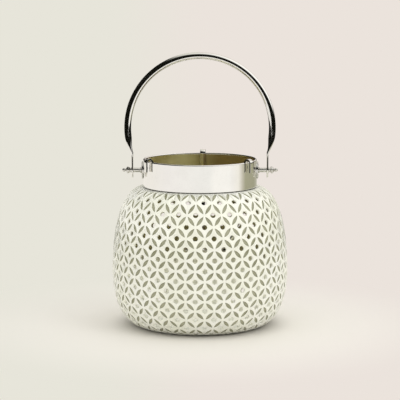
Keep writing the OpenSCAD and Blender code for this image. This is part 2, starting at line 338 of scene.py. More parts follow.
def make_nickel(name, base, gloss, length):
    """Bare or plated metal: its colour, the range of its gloss and the way its polishing lines run."""
    material, tree, shader = start_material(name, Metallic=1.0)
    mottled_colour(tree, shader, base, tuple(SECOND_TONE * c for c in base), 70.0)
    mottled_gloss(tree, shader, *gloss, 140.0)
    lined_bump(tree, shader, length, 900.0, 0.12, 0.00004)
    return material


NECK_NICKEL = make_nickel("neck_nickel", (0.93, 0.92, 0.9), (0.03, 0.09), (0.15, 0.15, 3.0))
BAIL_NICKEL = make_nickel("bail_nickel", (0.9, 0.89, 0.86), (0.04, 0.1), (0.4, 3.0, 0.4))
TURNED_NICKEL = make_nickel("turned_nickel", (0.68, 0.67, 0.64), (0.16, 0.26), (3.0, 0.3, 0.3))
STRAP_STEEL = make_nickel("strap_steel", (0.92, 0.91, 0.87), (0.07, 0.15), (2.0, 2.0, 0.2))
# Painted shade: near-black steel for the groove under the neck and the straps' narrow sides.
SHADED_SIDE_STEEL = make_nickel("painted_shade_steel", (0.10, 0.10, 0.09), (0.3, 0.45), (0.3, 0.3, 3.0))
PIN_STEEL = make_nickel("pin_steel", (0.55, 0.54, 0.51), (0.2, 0.32), (3.0, 0.5, 0.5))
print("materials:", [m.name for m in bpy.data.materials])

# %% [markdown]
# ## Making meshes
#
# Most of the metal is turned or spun, so one function revolves a section. Real edges are never
# sharp, so another first rounds the section's corners. Both work in millimetres.

# %% A mesh from points and faces
WELD = 1e-7  # metres


def mesh_object(name, points, faces, materials, finish=None, sharp=40):
    """A mesh in metres from points in millimetres, smooth except over sharp edges."""
    mesh = bpy.data.meshes.new(name)
    mesh.from_pydata([Vector(p) * MM for p in points], [], faces)
    if finish is not None:
        mesh.polygons.foreach_set("material_index", finish)
    for material in materials:
        mesh.materials.append(material)
    shape = bmesh.new()
    shape.from_mesh(mesh)
    bmesh.ops.remove_doubles(shape, verts=shape.verts, dist=WELD)
    bmesh.ops.recalc_face_normals(shape, faces=shape.faces)
    shape.to_mesh(mesh)
    shape.free()
    mesh.shade_smooth()
    mesh.set_sharp_from_angle(angle=math.radians(sharp))
    piece = bpy.data.objects.new(name, mesh)
    bpy.context.scene.collection.objects.link(piece)
    return piece


# %% Rounded corners
MOST_OF_HALF = 0.45
NEARLY_STRAIGHT = math.radians(80)


def rounded(section, radius, steps=3, closed=True):
    """The section with each corner turned into an arc, as far as its neighbours leave room."""
    result = []
    count = len(section)
    for i, corner in enumerate(section):
        if not closed and i in (0, count - 1):
            result.append(corner)
            continue
        here = Vector(corner)
        back = Vector(section[i - 1]) - here
        ahead = Vector(section[(i + 1) % count]) - here
        half = back.angle(ahead) / 2
        if half > NEARLY_STRAIGHT:
            result.append(corner)
            continue
        cut = min(radius / math.tan(half), MOST_OF_HALF * back.length, MOST_OF_HALF * ahead.length)
        start = here + back.normalized() * cut
        end = here + ahead.normalized() * cut
        for k in range(steps + 1):
            t = k / steps
            result.append(tuple(start * (1 - t) ** 2 + here * 2 * t * (1 - t) + end * t ** 2))
    return result


# %% Revolving a section
def turned_rings(section, steps, swell=None):
    """A ring of points for each (radius, height), or a single point on the axis."""
    points = []
    rings = []
    for r, z in section:
        start = len(points)
        if r == 0:
            rings.append([start])
            points.append((0, 0, z))
            continue
        for k in range(steps):
            angle = 2 * math.pi * k / steps
            grown = r * (swell(r, angle) if swell else 1)
            points.append((grown * math.cos(angle), grown * math.sin(angle), z))
        rings.append(list(range(start, start + steps)))
    return points, rings


def revolve(section, steps, place=None, swell=None):
    """Points and faces of a section turned round Z. The section ends on the axis or closes on itself."""
    points, rings = turned_rings(section, steps, swell)
    faces = []
    pairs = list(zip(rings, rings[1:]))
    if section[0][0] != 0:
        pairs.append((rings[-1], rings[0]))
    for low, high in pairs:
        for k in range(steps):
            n = (k + 1) % steps
            if len(low) == 1:
                faces.append((low[0], high[n], high[k]))
            elif len(high) == 1:
                faces.append((low[k], low[n], high[0]))
            else:
                faces.append((low[k], low[n], high[n], high[k]))
    if place is not None:
        points = [tuple(place @ Vector(p)) for p in points]
    return points, faces


# %% Body and nodes of a piece
def finish_piece(piece, body, slot, *nodes):
    """Rides on its body and stands for its CAD nodes. The slot is not used."""
    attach(piece, body)
    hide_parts(*nodes)
    piece.data.calc_loop_triangles()
    print(piece.name, len(piece.data.loop_triangles), "triangles")


def turned_piece(name, section, material, body, slot, *nodes, steps=48, edge=0.2, place=None):
    """A finished piece of one material, turned from a section with rounded edges."""
    closed = section[0][0] != 0
    points, faces = revolve(rounded(section, edge, closed=closed), steps, place)
    piece = mesh_object(name, points, faces, [material])
    finish_piece(piece, body, slot, *nodes)
    return piece


# %% [markdown]
# ## Repeating a piece round the axis
#
# The pot's pattern has 29 columns, the hanger has three straps and the cup has three rivets. One
# Geometry Nodes tree makes all of these: it sets copies of a mesh on turned points, realizes them,
# merges the seams and sets a material for each finish. The result is turned into a plain mesh,
# because the modifier isn't part of the finished object.

# %% Turned copies
def turned_copies(tree, given):
    """Real copies of the input mesh, each turned one step further round Z, with merged seams."""
    line = add_node(tree, "GeometryNodeMeshLine", mode="OFFSET")
    line.inputs["Offset"].default_value = (0, 0, 0)
    tree.links.new(given.outputs["Count"], line.inputs["Count"])
    number = tree.nodes.new("GeometryNodeInputIndex")
    step = add_node(tree, "ShaderNodeMath", operation="DIVIDE")
    step.inputs[0].default_value = 2 * math.pi
    tree.links.new(given.outputs["Count"], step.inputs[1])
    turn = add_node(tree, "ShaderNodeMath", operation="MULTIPLY_ADD")
    tree.links.new(number.outputs["Index"], turn.inputs[0])
    tree.links.new(step.outputs["Value"], turn.inputs[1])
    tree.links.new(given.outputs["Start"], turn.inputs[2])
    rotation = tree.nodes.new("ShaderNodeCombineXYZ")
    tree.links.new(turn.outputs["Value"], rotation.inputs["Z"])
    copies = tree.nodes.new("GeometryNodeInstanceOnPoints")
    tree.links.new(line.outputs["Mesh"], copies.inputs["Points"])
    tree.links.new(given.outputs["Geometry"], copies.inputs["Instance"])
    tree.links.new(rotation.outputs["Vector"], copies.inputs["Rotation"])
    real = tree.nodes.new("GeometryNodeRealizeInstances")
    tree.links.new(copies.outputs["Instances"], real.inputs["Geometry"])
    merged = tree.nodes.new("GeometryNodeMergeByDistance")
    tree.links.new(real.outputs["Geometry"], merged.inputs["Geometry"])
    tree.links.new(given.outputs["Seam"], merged.inputs["Distance"])
    return merged.outputs["Geometry"]


# %% A material for each finish
MATERIAL_INPUTS = ("First Material", "Second Material", "Third Material")


def set_materials(tree, given, geometry):
    """Sets each input material on the faces whose finish has its number."""
    finish = add_node(tree, "GeometryNodeInputNamedAttribute", data_type="INT")
    finish.inputs["Name"].default_value = "finish"
    for value, label in enumerate(MATERIAL_INPUTS):
        same = add_node(tree, "FunctionNodeCompare", data_type="INT", operation="EQUAL")
        same.inputs[3].default_value = value
        tree.links.new(finish.outputs["Attribute"], same.inputs[2])
        paint = tree.nodes.new("GeometryNodeSetMaterial")
        tree.links.new(geometry, paint.inputs["Geometry"])
        tree.links.new(same.outputs["Result"], paint.inputs["Selection"])
        tree.links.new(given.outputs[label], paint.inputs["Material"])
        geometry = paint.outputs["Geometry"]
    return geometry


# %% The tree for copies round the axis
def make_ring_tree():
    tree = bpy.data.node_groups.new("copies_round_axis", "GeometryNodeTree")
    tree.interface.new_socket("Geometry", in_out="INPUT", socket_type="NodeSocketGeometry")
    for label, socket, default in (
            ("Count", "NodeSocketInt", 3),
            ("Start", "NodeSocketFloat", 0.0),
            ("Seam", "NodeSocketFloat", 1e-6)):
        tree.interface.new_socket(label, in_out="INPUT", socket_type=socket).default_value = default
    for label in MATERIAL_INPUTS:
        tree.interface.new_socket(label, in_out="INPUT", socket_type="NodeSocketMaterial")
    tree.interface.new_socket("Geometry", in_out="OUTPUT", socket_type="NodeSocketGeometry")
    given = tree.nodes.new("NodeGroupInput")
    result = tree.nodes.new("NodeGroupOutput")
    finished = set_materials(tree, given, turned_copies(tree, given))
    tree.links.new(finished, result.inputs["Geometry"])
    return tree


RING_TREE = make_ring_tree()
print("geometry tree:", RING_TREE.name, "with", len(RING_TREE.nodes), "nodes")


# %% From a pattern to a plain mesh
def repeated_mesh(name, pattern, materials, count, start):
    """The pattern object's copies round the axis, as a mesh of their own. The pattern is used up."""
    modifier = pattern.modifiers.new("copies", "NODES")
    modifier.node_group = RING_TREE
    sockets = {s.name: s.identifier for s in RING_TREE.interface.items_tree if s.in_out == "INPUT"}
    modifier[sockets["Count"]] = count
    modifier[sockets["Start"]] = start
    for label, material in zip(MATERIAL_INPUTS, materials):
        modifier[sockets[label]] = material
    bpy.context.view_layer.update()
    evaluated = pattern.evaluated_get(bpy.context.evaluated_depsgraph_get())
    made = bpy.data.meshes.new_from_object(evaluated)
    made.name = name
    bpy.data.objects.remove(pattern)
    return made


def copies_round_axis(name, points, faces, finish, materials, count, start=0.0, sharp=40):
    """A plain mesh object of count copies of a mesh round Z. finish numbers each face's material."""
    mesh = bpy.data.meshes.new(name + "_pattern")
    mesh.from_pydata([Vector(p) * MM for p in points], [], faces)
    mesh.attributes.new("finish", "INT", "FACE").data.foreach_set("value", finish)
    pattern = bpy.data.objects.new(name + "_pattern", mesh)
    bpy.context.scene.collection.objects.link(pattern)
    made = repeated_mesh(name, pattern, materials, count, start)
    shape = bmesh.new()
    shape.from_mesh(made)
    bmesh.ops.recalc_face_normals(shape, faces=shape.faces)
    open_edges = sum(1 for e in shape.edges if len(e.link_faces) != 2)
    shape.to_mesh(made)
    shape.free()
    made.shade_smooth()
    made.set_sharp_from_angle(angle=math.radians(sharp))
    piece = bpy.data.objects.new(name, made)
    bpy.context.scene.collection.objects.link(piece)
    print(name, "has", open_edges, "open edges")
    return piece


# %% [markdown]
# ## The pot
#
# The pot's side follows two quarter curves that are fuller than ellipses, one down to the foot and
# one up to the mouth. The stamping is a lattice: dots in the middle of diamonds whose sides are
# pointed petals. A boolean with 377 holes and 870 petals would be slow and untidy. Instead one
# gore, a strip one column wide from the foot to the mouth, is laid out on the curve with its petals
# and holes already in its faces, and Geometry Nodes repeat it round the axis.

# %% Rows of the lattice
COLUMNS = 29
TOP_ROW = 12
FOOT_ROW = -2
low_dot_z = 8.7
top_dot_z = mouth_z - 5.9
ROW_GROWTH = 0.1


def row_height(v):
    """Height of the dots of row v. The rows stand a little wider apart towards the mouth."""
    t = v / TOP_ROW
    return low_dot_z + (top_dot_z - low_dot_z) * t * (1 + ROW_GROWTH * (t - 1))


print("dots from", low_dot_z, "to", round(top_dot_z, 2), "mm above the table")

# %% Profile of the pot
LOW_BEND = 2.3
TOP_BEND = 2.2
shoulder_h = mouth_z - belly_z


def curve_angle(z):
    """Angle along the quarter curve on which height z lies: 0 at the widest place, 90 degrees at its end."""
    if z < belly_z:
        return math.asin(((belly_z - z) / belly_z) ** (LOW_BEND / 2))
    return math.asin(((z - belly_z) / shoulder_h) ** (TOP_BEND / 2))


def place_on_curve(v):
    """The angle of row v on its quarter curve, and whether that is the lower curve."""
    if v < 0:
        lowest = curve_angle(row_height(0))
        return lowest + (math.pi / 2 - lowest) * v / FOOT_ROW, True
    if v > TOP_ROW:
        highest = curve_angle(row_height(TOP_ROW))
        return highest + (math.pi / 2 - highest) * (v - TOP_ROW), False
    return curve_angle(row_height(v)), row_height(v) < belly_z


def wall_point(v):
    """Radius, height and outward normal of the outside at row v, where whole rows carry dots."""
    angle, lower = place_on_curve(v)
    bend, height, end_r = (LOW_BEND, belly_z, foot_r) if lower else (TOP_BEND, shoulder_h, mouth_r)
    across = max(0.0, math.cos(angle)) ** (2 / bend)
    along = max(0.0, math.sin(angle)) ** (2 / bend)
    normal = Vector((across ** (bend - 1) / (belly_r - end_r), along ** (bend - 1) / height)).normalized()
    sign = -1 if lower else 1
    return end_r + (belly_r - end_r) * across, belly_z + sign * height * along, normal.x, sign * normal.y


print("shoulder height", round(shoulder_h, 2), "mm")


# %% Places on the wall
def on_wall(u, v, depth=0.0):
    """The point in millimetres at column u and row v, that far under the outside."""
    r, z, normal_r, normal_z = wall_point(v)
    r -= depth * normal_r
    angle = 2 * math.pi * u / COLUMNS
    return (r * math.cos(angle), r * math.sin(angle), z - depth * normal_z)


def pitch(v):
    """Width of a column and height of a row round row v, in millimetres."""
    low, high = max(FOOT_ROW, v - 0.25), min(TOP_ROW + 1, v + 0.25)
    a, b = wall_point(low), wall_point(high)
    return 2 * math.pi * wall_point(v)[0] / COLUMNS, math.hypot(a[0] - b[0], a[1] - b[1]) / (high - low)


# %% Sizes of the stamping
DOT_R = 2.2
DOT_EDGE = 0.25
DIMPLE_R = 0.8 * DOT_R
PETAL_HALF = 1.62
PETAL_GAP = 1.2
PETAL_EDGE = 0.14
PETAL_DEPTH = 0.7
LIP_DEPTH = 0.45 * PETAL_DEPTH
FLOOR_INSET = 1.7 * PETAL_EDGE
POINT_INSET = 1.6
WIDEST_PITCH = 16.8
SLIMMING = 0.6
DOT_STEPS = 4
PETAL_STEPS = 8
print("columns at the belly", round(pitch(5)[0], 1), "mm wide")


# %% [markdown]
# A diamond's quarter is a right triangle: the dot's middle is its right angle, and one petal lies
# along its long side, shared with the next diamond. `stamp` builds the faces of one such triangle.
# Its corners are the dot (u, v), the node beside it and the node above or below it. The signs su and
# sv say on which side of the dot the quarter lies.

# %% Faces of one column
class Gore:
    """Faces of one column of the pot, with shared points merged later."""

    def __init__(self):
        self.points = []
        self.faces = []
        self.finish = []

    def point(self, u, v, depth=0.0):
        self.points.append(on_wall(u, v, depth))
        return len(self.points) - 1

    def face(self, corners, finish):
        self.faces.append(corners)
        self.finish.append(finish)

    def strip(self, low, high, finish):
        for i in range(len(low) - 1):
            self.face((low[i], low[i + 1], high[i + 1], high[i]), finish)


CREAM, OLIVE, GILT = range(3)


# %% Outline of a petal
def petal_axis(u, v, su, sv):
    """Start and end of the petal's long axis on the lattice, and the local width and height of a cell."""
    return Vector((u + su / 2, v)), Vector((u, v + sv)), *pitch(v + sv / 2)


def petal_side(gore, u, v, su, sv, inset, depth):
    """Half outline of the petal from the side node to the upper or lower node, on the dot's side."""
    start, end, wide, tall = petal_axis(u, v, su, sv)
    along = Vector(((end.x - start.x) * wide, (end.y - start.y) * tall))
    side = Vector((-along.y, along.x)).normalized()
    if side.x * su > 0:
        side = -side
    half = PETAL_HALF * (wide / WIDEST_PITCH) ** SLIMMING - inset
    gap = (PETAL_GAP + POINT_INSET * inset) / along.length
    result = []
    for i in range(PETAL_STEPS + 1):
        t = i / PETAL_STEPS
        way = gap + (1 - 2 * gap) * t
        across = half * (1 - (2 * t - 1) ** 2)
        result.append(gore.point(start.x + (end.x - start.x) * way + side.x * across / wide,
                                 start.y + (end.y - start.y) * way + side.y * across / tall, depth))
    return result


def floor_line(gore, u, v, su, sv, floor):
    """The middle line of the petal's floor, which starts and ends in the points of its outline."""
    start, end, wide, tall = petal_axis(u, v, su, sv)
    length = math.hypot((end.x - start.x) * wide, (end.y - start.y) * tall)
    gap = (PETAL_GAP + POINT_INSET * FLOOR_INSET) / length
    result = [floor[0]]
    for i in range(1, PETAL_STEPS):
        way = gap + (1 - 2 * gap) * i / PETAL_STEPS
        here = start + (end - start) * way
        result.append(gore.point(here.x, here.y, PETAL_DEPTH))
    return result + [floor[-1]]


# %% A sunk petal
def sink_petal(gore, u, v, su, sv):
    """Faces of half a petal. It returns the rim, which the cream round the dot joins."""
    rim = petal_side(gore, u, v, su, sv, 0, 0)
    lip = petal_side(gore, u, v, su, sv, PETAL_EDGE, LIP_DEPTH)
    floor = petal_side(gore, u, v, su, sv, FLOOR_INSET, PETAL_DEPTH)
    middle = floor_line(gore, u, v, su, sv, floor)
    gore.strip(rim, lip, CREAM)
    gore.strip(lip, floor, OLIVE)
    for i in range(PETAL_STEPS):
        gore.face(tuple(dict.fromkeys((floor[i], floor[i + 1], middle[i + 1], middle[i]))), OLIVE)
    return rim


# %% Dots, dimples and plain ends
def dot_arc(gore, u, v, su, sv, radius, depth):
    """A quarter of the dot's edge, in the quarter of the diamond that su and sv name."""
    wide, tall = pitch(v)
    turns = [math.pi / 2 * i / DOT_STEPS for i in range(DOT_STEPS + 1)]
    return [gore.point(u + su * radius * math.cos(a) / wide, v + sv * radius * math.sin(a) / tall, depth)
            for a in turns]


def dot_in_cream(gore, u, v, su, sv, rim, side_node, far_node):
    """Cream from the petal to the dot, and the dot: a hole from row 0 up, a dimple at the foot."""
    pierced = v >= 0
    radius = DOT_R if pierced else DIMPLE_R
    edge = dot_arc(gore, u, v, su, sv, radius + DOT_EDGE, 0)
    bore = dot_arc(gore, u, v, su, sv, radius, DOT_EDGE)
    bottom = dot_arc(gore, u, v, su, sv, radius, pot_wall if pierced else PETAL_DEPTH)
    for i in range(DOT_STEPS):
        gore.face((edge[i], edge[i + 1], rim[2 * i + 2], rim[2 * i + 1], rim[2 * i]), CREAM)
    gore.face((edge[0], side_node, rim[0]), CREAM)
    gore.face((edge[-1], rim[-1], far_node), CREAM)
    gore.strip(edge, bore, CREAM)
    gore.strip(bore, bottom, CREAM if pierced else OLIVE)
    if not pierced:
        middle = gore.point(u, v, PETAL_DEPTH)
        for i in range(DOT_STEPS):
            gore.face((middle, bottom[i], bottom[i + 1]), OLIVE)


def plain_cream(gore, u, v, rim, side_node, far_node):
    """Cream from the petal to the edge of the foot or the mouth, where half a diamond has no dot."""
    middle = gore.point(u, v)
    for i in range(PETAL_STEPS):
        gore.face((middle, rim[i], rim[i + 1]), CREAM)
    gore.face((middle, side_node, rim[0]), CREAM)
    gore.face((middle, rim[-1], far_node), CREAM)


# %% One quarter of a diamond
def line_inside(gore, u, v, su, sv):
    """The gilt inside of the same quarter, with the hole where the dot is pierced."""
    side_node = gore.point(u + su / 2, v, pot_wall)
    far_node = gore.point(u, v + sv, pot_wall)
    middle = gore.point(u + su / 4, v + sv / 2, pot_wall)
    if 0 <= v <= TOP_ROW:
        arc = dot_arc(gore, u, v, su, sv, DOT_R, pot_wall)
    else:
        arc = [gore.point(u, v, pot_wall)]
    half = len(arc) // 2
    gore.face(tuple([side_node] + arc[:half + 1] + [middle]), GILT)
    gore.face(tuple([middle] + arc[half:] + [far_node]), GILT)


def stamp(gore, u, v, su, sv):
    """Outside and inside of one quarter of the diamond round (u, v)."""
    side_node = gore.point(u + su / 2, v)
    far_node = gore.point(u, v + sv)
    rim = sink_petal(gore, u, v, su, sv)
    if v in (FOOT_ROW, TOP_ROW + 1):
        plain_cream(gore, u, v, rim, side_node, far_node)
    else:
        dot_in_cream(gore, u, v, su, sv, rim, side_node, far_node)
    line_inside(gore, u, v, su, sv)


# %% The whole gore
def make_gore():
    """All quarters of one column. Every second row is shifted by half a column."""
    gore = Gore()
    for v in range(FOOT_ROW, TOP_ROW + 2):
        middle = 0.25 + (v % 2) / 2
        for su in (-1, 1):
            for sv in (-1, 1):
                if FOOT_ROW <= v + sv <= TOP_ROW + 1:
                    stamp(gore, middle, v, su, sv)
    return gore


# %% Foot ring and mouth ring
FOOT_HOLE_R = 45.8
MOUTH_HOLE_R = 49.15


def close_ends(gore):
    """The flat ring at the foot and the one at the mouth, which join the outside to the inside."""
    for v, inner_r, middle in ((FOOT_ROW, FOOT_HOLE_R, 0.25), (TOP_ROW + 1, MOUTH_HOLE_R, 0.75)):
        r, z = wall_point(v)[0], wall_point(v)[1]
        inward = pot_wall if v == FOOT_ROW else -pot_wall
        for u in (middle - 0.5, middle):
            corners = [(r, z), (inner_r, z), (inner_r, z + inward), (r, z + inward)]
            rings = []
            for step in (0, 0.5):
                angle = 2 * math.pi * (u + step) / COLUMNS
                ring = []
                for radius, height in corners:
                    gore.points.append((radius * math.cos(angle), radius * math.sin(angle), height))
                    ring.append(len(gore.points) - 1)
                rings.append(ring)
            for i, finish in enumerate((CREAM, CREAM, GILT)):
                gore.face((rings[0][i], rings[0][i + 1], rings[1][i + 1], rings[1][i]), finish)


gore = make_gore()
close_ends(gore)
print("gore with", len(gore.faces), "faces")

# %% Pot skin
pot_skin = copies_round_axis("pot_skin", gore.points, gore.faces, gore.finish,
                             (ENAMEL, GLAZE, LINING), COLUMNS, start=-math.pi / 2, sharp=50)
finish_piece(pot_skin, "pot", "enamel", "pot_shell")

# %% [markdown]
# ## The foot plate
#
# A dished disc drops onto the foot ring from inside and closes the pot.

# %% Foot plate
PLATE_T = 0.8
PLATE_LEDGE = 3.2
plate_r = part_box("base_plate")[1].x / MM
plate_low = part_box("base_plate")[0].z / MM
plate_high = top_of("base_plate")
dish_r = plate_r - PLATE_LEDGE
foot_section = [(0, plate_low), (dish_r, plate_low), (dish_r, plate_high - PLATE_T),
                (plate_r, plate_high - PLATE_T), (plate_r, plate_high), (dish_r - PLATE_T, plate_high),
                (dish_r - PLATE_T, plate_low + PLATE_T), (0, plate_low + PLATE_T)]
turned_piece("foot_plate", foot_section, ENAMEL, "pot", "enamel", "base_plate", steps=96, edge=0.3)

# %% [markdown]
# ## The neck band
#
# The neck is spun from sheet: a straight band with a rolled bead at the rim, and a sleeve that drops
# through the mouth and is swaged out below it. The outside is nickel plate. The inside is painted gold,
# which stands for the pot's gold mirrored in it, so the faces after the bead get the second material. A
# groove under the band draws the joint line, and its faces get the dark third one, a painted shade in
# the gap. `revolve` puts out its faces in the order of the section, which makes them easy to count. A
# mirror shows every bend in its shading, so short faces at both ends of the band keep the long one
# between them flat.

# %% Sizes of the neck
BEAD_R = 0.9
neck_r = 50.0
bead_in_r = neck_r - 2 * BEAD_R
bead_z = rim_z - BEAD_R
band_z = mouth_z + 0.05
sleeve_in_r = bead_in_r + 0.05
sleeve_out_r = sleeve_in_r + 0.85
SWAGE_OUT = 1.3
SWAGE_H = 0.9
swage_r = sleeve_out_r + SWAGE_OUT
swage_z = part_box("collar")[0].z / MM
GROOVE_DEPTH = 1.0
GROOVE_H = 0.9
groove_r = neck_r - GROOVE_DEPTH
groove_z = band_z + GROOVE_H
GUARD = 0.2
print("band from", round(band_z, 2), "to", rim_z, "and sleeve down to", round(swage_z, 2), "mm")


# %% Section of the neck
def arc(centre, radius, start, end, steps):
    """Points of an arc in a section, with its angles in degrees."""
    angles = [math.radians(start + (end - start) * i / steps) for i in range(steps + 1)]
    return [(centre[0] + radius * math.cos(a), centre[1] + radius * math.sin(a)) for a in angles]


sleeve_and_groove = rounded(
    [(sleeve_in_r, swage_z), (swage_r, swage_z), (swage_r, swage_z + SWAGE_H),
     (sleeve_out_r, swage_z + SWAGE_H), (sleeve_out_r, band_z), (groove_r, band_z),
     (groove_r, groove_z), (neck_r, groove_z), (neck_r, groove_z + 1)], 0.15, closed=False)
outside_band = [(neck_r, groove_z + 1 + GUARD), (neck_r, bead_z - GUARD), (neck_r, bead_z)]
bead = arc((neck_r - BEAD_R, bead_z), BEAD_R, 0, 240, 16)[1:]
inside_band = [(neck_r - neck_wall, rim_z - 3 * BEAD_R), (neck_r - neck_wall, band_z + neck_wall),
               (sleeve_in_r, band_z + neck_wall / 2)]
neck_section = sleeve_and_groove + outside_band + bead + inside_band
print("neck section of", len(neck_section), "points")

# %% Neck band
NECK_STEPS = 192
INSIDE_POINTS = 5
CORNER_POINTS = 4
NICKEL_FINISH, GOLD_FINISH, SEAM_SHADE_FINISH = range(3)
groove_start = 4 * CORNER_POINTS * NECK_STEPS
groove_end = (6 * CORNER_POINTS + 1) * NECK_STEPS
neck_points, neck_faces = revolve(neck_section, NECK_STEPS)
outside_faces = (len(neck_section) - INSIDE_POINTS) * NECK_STEPS
neck_finish = [NICKEL_FINISH] * outside_faces + [GOLD_FINISH] * (len(neck_faces) - outside_faces)
# The groove's faces get painted shade.
neck_finish[groove_start:groove_end] = [SEAM_SHADE_FINISH] * (groove_end - groove_start)
neck = mesh_object("neck_band", neck_points, neck_faces, [NECK_NICKEL, GOLD, SHADED_SIDE_STEEL], neck_finish)
finish_piece(neck, "pot", "polished_steel", "collar")

# %% [markdown]
# ## Pivot hardware
#
# Each side has a stack on one pin: a backing disc shaped to the neck, a washer, a spacer, the eye of
# the bail, an outer washer and a turned knob, with a nut inside the neck. The stack is built once
# along +X and turned for the left side.

# %% Places along the pivot
PIN_R = 1.25
HOLE_R = 1.3


def reach(node, end):
    """Where a CAD node starts (0) or ends (1) along X, in millimetres from the axis."""
    low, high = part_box(node)[0].x / MM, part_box(node)[1].x / MM
    return (low, high)[end] if high > 0 else (-high, -low)[end]


def radius_of(node):
    return (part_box(node)[1].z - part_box(node)[0].z) / MM / 2


def side_place(side):
    """Turns a piece made along Z so that it lies on the pivot axis, pointing away from the neck."""
    turn = Matrix.Rotation(math.pi if side == "left" else 0, 4, "Z")
    return turn @ Matrix.Translation((0, 0, pivot_z)) @ Matrix.Rotation(math.pi / 2, 4, "Y")


# %% Backing disc
DISC_T = 1.3
DISC_CROWN = 0.55


def backing_disc(side):
    """A crowned disc whose back is cut to the round of the neck."""
    name = side + "_escutcheon"
    face, radius = reach(name, 1), radius_of(name)
    back = face - DISC_T
    section = rounded([(HOLE_R, face), (radius - 0.9, face - 0.05), (radius, face - DISC_CROWN),
                       (radius, back), (HOLE_R, back)], 0.3, closed=False)
    points, faces = revolve(section, 64)
    saddle = []
    for x, y, z in points:
        on_neck = math.sqrt((neck_r + 0.05) ** 2 - y ** 2)
        saddle.append((x, y, on_neck if z <= back + 0.35 else z))
    place = side_place(side)
    piece = mesh_object(name + "_disc", [tuple(place @ Vector(p)) for p in saddle], faces, [TURNED_NICKEL])
    finish_piece(piece, "pot", "polished_steel", name)


# %% Washers, spacer and pin
RING_EDGES = {"boss_washer": 0.3, "spacer": 0.2, "outer_washer": 0.2}


def pivot_ring(side, part):
    """A flat ring on the pin, with its edges rounded as the part's are."""
    node = f"{side}_{part}"
    start, end, radius = reach(node, 0), reach(node, 1), radius_of(node)
    section = [(HOLE_R, start), (radius, start), (radius, end), (HOLE_R, end)]
    turned_piece(node + "_turned", section, TURNED_NICKEL, "pot", "polished_steel", node,
                 edge=RING_EDGES[part], place=side_place(side))


def pin(side):
    name = side + "_pivot_pin"
    start, end = reach(name, 0), reach(name, 1)
    turned_piece(name + "_turned", [(0, start), (PIN_R, start), (PIN_R, end), (0, end)], PIN_STEEL,
                 "pot", "pin_steel", name, steps=32, edge=0.25, place=side_place(side))


# %% Knob
TIP_R = 1.6
TIP_NECK_R = 0.96


def knob(side):
    """A turned barrel on a short neck, with a ball at its tip."""
    name = side + "_knob"
    start, end, radius = reach(name, 0), reach(name, 1), radius_of(name)
    barrel = end - start - 2 * TIP_R
    tip_start = end - 2 * TIP_R
    bore_end = start + 0.6 * barrel + 0.05
    middle = start + 0.52 * barrel
    section = [(0, bore_end), (HOLE_R, bore_end), (HOLE_R, start), (0.6 * radius, start),
               (0.6 * radius, start + 0.1 * barrel)]
    section += [(radius * math.cos(math.radians(a)), middle + 0.44 * barrel * math.sin(math.radians(a)))
                for a in range(-56, 61, 8)]
    section += [(TIP_NECK_R, tip_start + 0.1), (TIP_NECK_R, tip_start + 0.3)]
    section += [(TIP_R * math.cos(math.radians(a)), end - TIP_R + TIP_R * math.sin(math.radians(a)))
                for a in range(-50, 90, 10)]
    section += [(0, end)]
    points, faces = revolve(section, 40, side_place(side))
    piece = mesh_object(name + "_turned", points, faces, [TURNED_NICKEL], sharp=50)
    finish_piece(piece, "pot", "polished_steel", name)


# %% Nut
NUT_FLATS = 2.3
NUT_CHAMFER_R = 0.3
NUT_CHAMFER_H = 0.25


def hexagon(r, angle):
    """How much further a six-sided outline reaches than its flats; the hole stays round."""
    if r <= HOLE_R + 0.01:
        return 1
    return 1 / math.cos((angle + math.pi / 6) % (math.pi / 3) - math.pi / 6)


def nut(side):
    name = side + "_pin_nut"
    start, end = reach(name, 0), reach(name, 1)
    section = [(HOLE_R, start), (NUT_FLATS - NUT_CHAMFER_R, start), (NUT_FLATS, start + NUT_CHAMFER_H),
               (NUT_FLATS, end - NUT_CHAMFER_H), (NUT_FLATS - NUT_CHAMFER_R, end), (HOLE_R, end)]
    points, faces = revolve(section, 48, side_place(side), swell=hexagon)
    piece = mesh_object(name + "_hex", points, faces, [PIN_STEEL], sharp=25)
    finish_piece(piece, "pot", "pin_steel", name)


# %% Both stacks
for side in ("left", "right"):
    backing_disc(side)
    for part in RING_EDGES:
        pivot_ring(side, part)
    pin(side)
    knob(side)
    nut(side)

# %% [markdown]
# ## The bail
#
# The bail is one forged rod. Its hoop is round, and each arm flattens into a thin plate with an eye
# for the pivot. A sweep makes it in one skin: rings of points follow the centreline, and each ring
# is a stadium that changes from a circle to a thin, wide slot. The eyes are then drilled.

# %% Sweep along a path
def stadium(thick, wide, count):
    """Outline of two half rounds joined by straight sides, as (across, along Y)."""
    result = []
    for i in range(count):
        t = 2 * math.pi * (i + 0.5) / count
        lift = (wide - thick) / 2 * (1 if math.sin(t) > 0 else -1)
        result.append((thick / 2 * math.cos(t), thick / 2 * math.sin(t) + lift))
    return result


def skin_rings(rings):
    """Points and faces of a closed tube through rings of equal length."""
    count = len(rings[0])
    points = [p for ring in rings for p in ring]
    faces = []
    for k in range(len(rings) - 1):
        for i in range(count):
            n = (i + 1) % count
            faces.append((k * count + i, k * count + n, (k + 1) * count + n, (k + 1) * count + i))
    faces.append(tuple(reversed(range(count))))
    faces.append(tuple(range((len(rings) - 1) * count, len(rings) * count)))
    return points, faces


# %% Sizes of the bail
ROD_D = 6.0
PLATE_T_BAIL = 1.2
PLATE_W_BAIL = 9.4
EYE_R = 6.8
hoop_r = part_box("bail")[1].x / MM - ROD_D / 2
hoop_z = top_of("bail") - ROD_D / 2 - hoop_r
plate_x = (reach("left_spacer", 1) + 0.2) + PLATE_T_BAIL / 2
hoop_end = math.acos(plate_x / hoop_r)
taper_start = 0.3 * hoop_end
plate_top = hoop_z - hoop_r * math.sin(hoop_end)
print("hoop radius", hoop_r, "centre height", hoop_z, "plate at", plate_x)


# %% Hoop and taper
def arm_ring(x, z, lean, thick, wide):
    return [(x + a * math.cos(lean), y, z - a * math.sin(lean)) for a, y in stadium(thick, wide, 32)]


